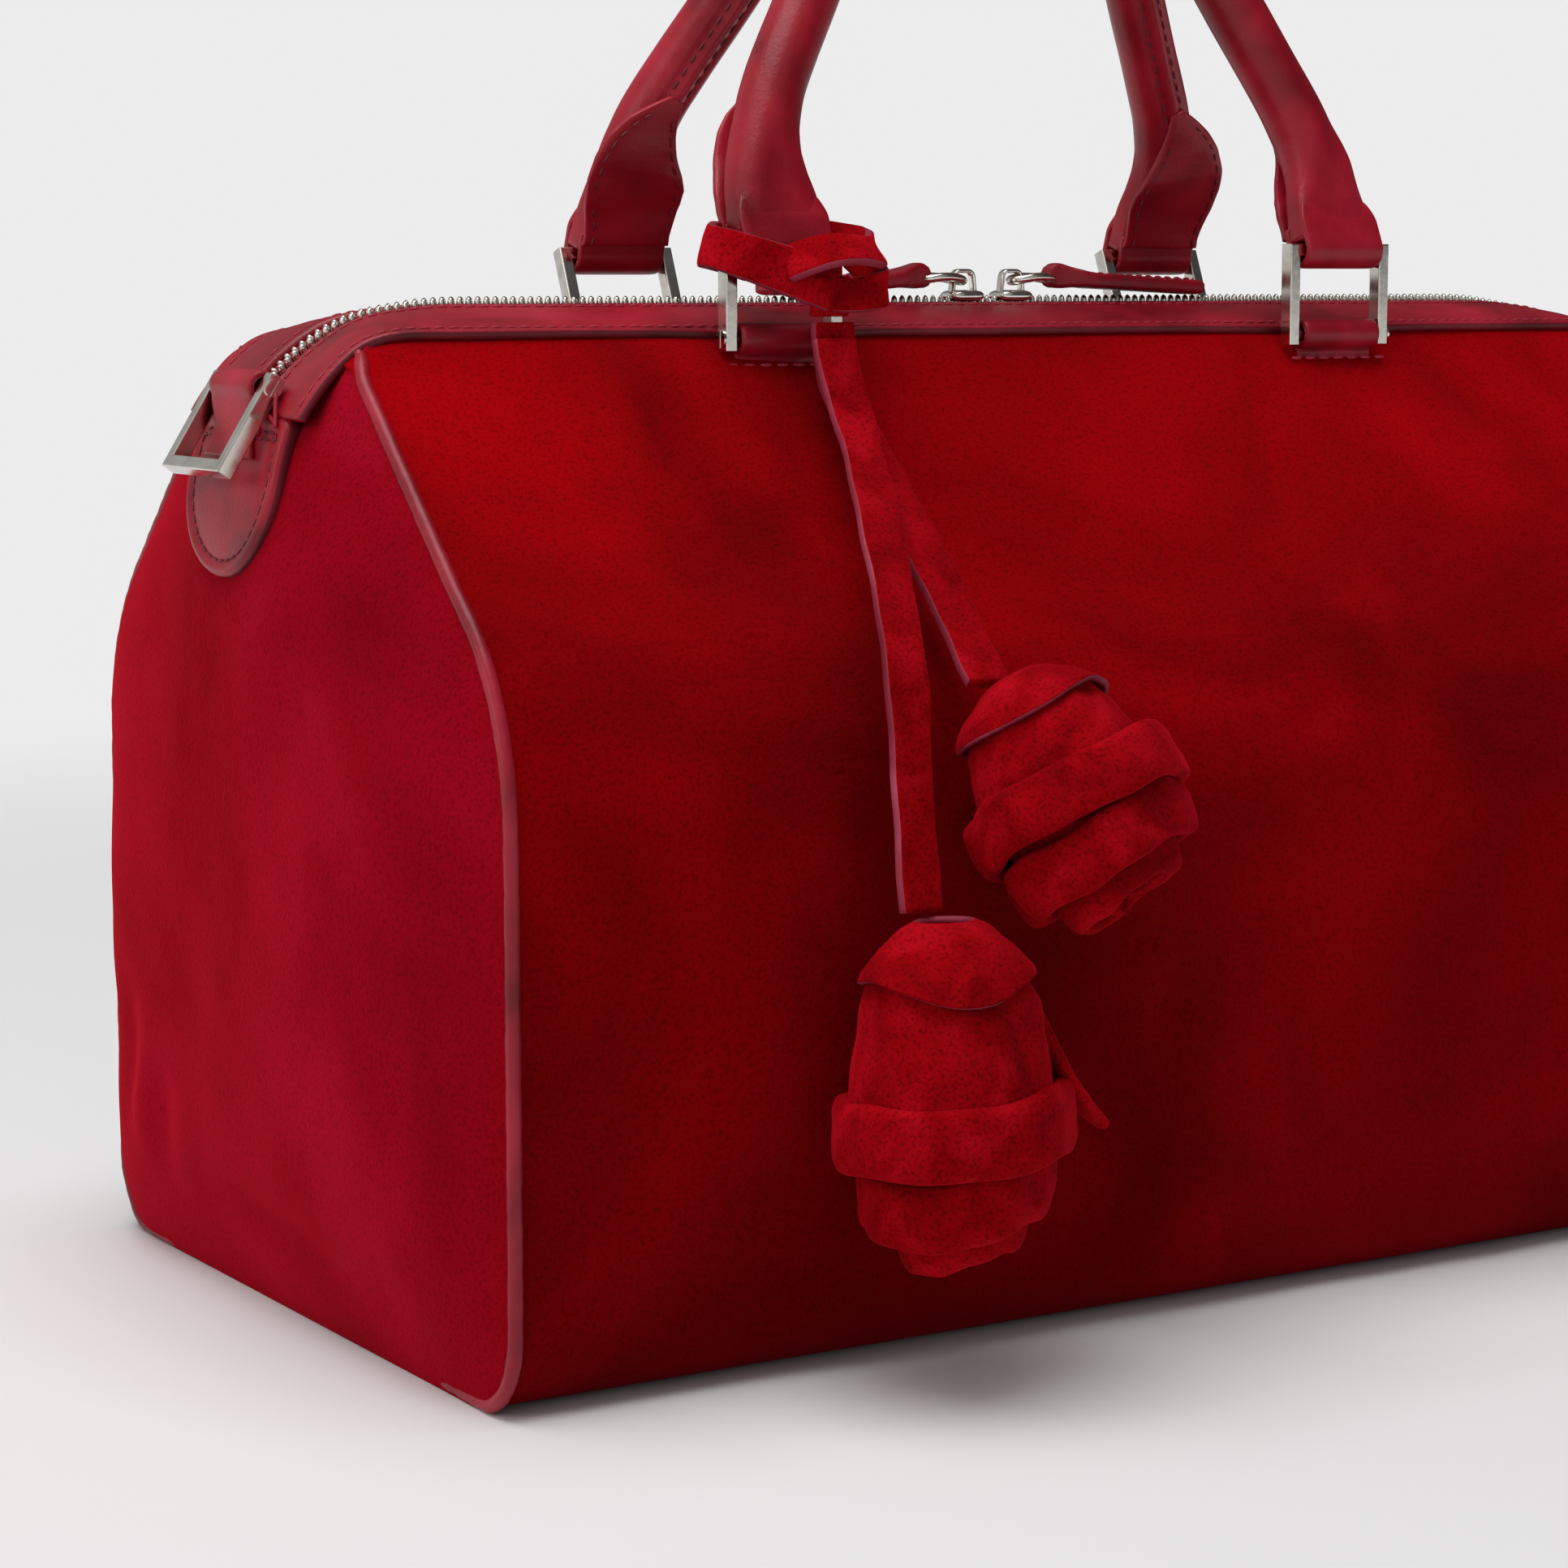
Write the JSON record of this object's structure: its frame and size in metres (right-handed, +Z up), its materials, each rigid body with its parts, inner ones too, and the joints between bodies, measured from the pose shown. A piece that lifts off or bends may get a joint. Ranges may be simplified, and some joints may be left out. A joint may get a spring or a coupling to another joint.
{
  "type": "duffle handbag",
  "caption": "Soft suede duffle handbag with a zip along the top, rolled leather handles on metal rings, a ring at each end and suede rose charms on straps.",
  "frame": {"origin": "middle of the base, on the surface that the bag stands on", "axes": "+X along the bag to its right-hand end as its front is faced, -Y out of the front, +Z up"},
  "size_m": [0.449, 0.2795, 0.3638],
  "materials": {
    "suede": "velvety nap, matte with a soft sheen",
    "calf_leather": "smooth, satin",
    "zip_tape": "woven tape, matte",
    "nickel": "polished nickel",
    "lining_cloth": "woven cotton, matte",
    "board": "matte stiffener board",
    "cord_core": "twisted cotton cord"
  },
  "bodies": {
    "bag": {"front_panel": "suede", "back_panel": "suede", "base_panel": "suede", "end_panel_left": "suede", "end_panel_right": "suede", "piping_front_left": "calf_leather", "piping_front_right": "calf_leather", "piping_back_left": "calf_leather", "piping_back_right": "calf_leather", "piping_cords": "cord_core", "lining": "lining_cloth", "base_board": "board", "zip_band_front": "calf_leather", "zip_band_back": "calf_leather", "zip_tape_front": "zip_tape", "zip_tape_back": "zip_tape", "zip_teeth_front": "nickel", "zip_teeth_back": "nickel", "zip_stops": "nickel", "end_tab_left": "calf_leather", "end_tab_right": "calf_leather", "end_chape_left": "calf_leather", "end_chape_right": "calf_leather", "chape_front_left": "calf_leather", "chape_front_right": "calf_leather", "chape_back_left": "calf_leather", "chape_back_right": "calf_leather"},
    "front_rings": {"ring_front_left": "nickel", "ring_front_right": "nickel", "ring_pin_front_left": "nickel", "ring_pin_front_right": "nickel"},
    "front_handle": {"handle_front": "calf_leather", "handle_core_front": "cord_core", "charm_knot": "suede"},
    "charm_top": {"charm_bight": "suede"},
    "short_rose": {"strap_short": "suede", "rose_short_calyx": "suede", "rose_short_bud": "suede", "rose_short_petals": "suede"},
    "long_rose": {"strap_long": "suede", "rose_long_calyx": "suede", "rose_long_bud": "suede", "rose_long_petals": "suede"},
    "back_rings": {"ring_back_left": "nickel", "ring_back_right": "nickel", "ring_pin_back_left": "nickel", "ring_pin_back_right": "nickel"},
    "back_handle": {"handle_back": "calf_leather", "handle_core_back": "cord_core"},
    "left_end_ring": {"end_ring_left": "nickel", "end_ring_pin_left": "nickel"},
    "right_end_ring": {"end_ring_right": "nickel", "end_ring_pin_right": "nickel"},
    "left_slider": {"zip_slider_left": "nickel"},
    "right_slider": {"zip_slider_right": "nickel"},
    "left_pull": {"pull_link_left": "nickel", "pull_tab_left": "calf_leather"},
    "right_pull": {"pull_link_right": "nickel", "pull_tab_right": "calf_leather"}
  },
  "joints": [
    {"name": "front_ring_swing", "type": "hinge", "parent": "bag", "child": "front_rings", "pos_m": [0, -0.03737, 0.23508], "axis": [1, 0, 0], "range_deg": [0, 40]},
    {"name": "front_handle_swing", "type": "hinge", "parent": "front_rings", "child": "front_handle", "pos_m": [0, -0.03737, 0.25688], "axis": [1, 0, 0], "range_deg": [0, 70]},
    {"name": "charm_level", "type": "hinge", "parent": "front_rings", "child": "charm_top", "pos_m": [-0.079, -0.03737, 0.25688], "axis": [1, 0, 0], "range_deg": [-40, 0]},
    {"name": "charm_swing", "type": "hinge", "parent": "charm_top", "child": "short_rose", "pos_m": [-0.079, -0.0482, 0.239], "axis": [-1, 0, 0], "range_deg": [0, 40]},
    {"name": "long_rose_swing", "type": "hinge", "parent": "short_rose", "child": "long_rose", "pos_m": [-0.08, -0.052, 0.235], "axis": [0, 1, 0], "range_deg": [0, 25]},
    {"name": "back_ring_swing", "type": "hinge", "parent": "bag", "child": "back_rings", "pos_m": [0, 0.03737, 0.23508], "axis": [-1, 0, 0], "range_deg": [0, 60]},
    {"name": "back_handle_swing", "type": "hinge", "parent": "back_rings", "child": "back_handle", "pos_m": [0, 0.04553, 0.2553], "axis": [-1, 0, 0], "range_deg": [0, 95]},
    {"name": "left_end_ring_swing", "type": "hinge", "parent": "bag", "child": "left_end_ring", "pos_m": [-0.2105, 0, 0.2245], "axis": [0, 1, 0], "range_deg": [0, 110]},
    {"name": "right_end_ring_swing", "type": "hinge", "parent": "bag", "child": "right_end_ring", "pos_m": [0.2105, 0, 0.2245], "axis": [0, -1, 0], "range_deg": [0, 110]},
    {"name": "left_slider_slide", "type": "slide", "parent": "bag", "child": "left_slider", "axis": [-1, 0, 0], "range_m": [0, 0.135]},
    {"name": "right_slider_slide", "type": "slide", "parent": "bag", "child": "right_slider", "axis": [1, 0, 0], "range_m": [0, 0.135]},
    {"name": "left_pull_lift", "type": "hinge", "parent": "left_slider", "child": "left_pull", "pos_m": [-0.0076, 0, 0.2492], "axis": [0, 1, 0], "range_deg": [0, 85]},
    {"name": "right_pull_lift", "type": "hinge", "parent": "right_slider", "child": "right_pull", "pos_m": [0.0076, 0, 0.2492], "axis": [0, -1, 0], "range_deg": [0, 85]}
  ],
  "couplings": [
    {"joint": "charm_level", "follows": "front_ring_swing", "ratio": -1}
  ]
}
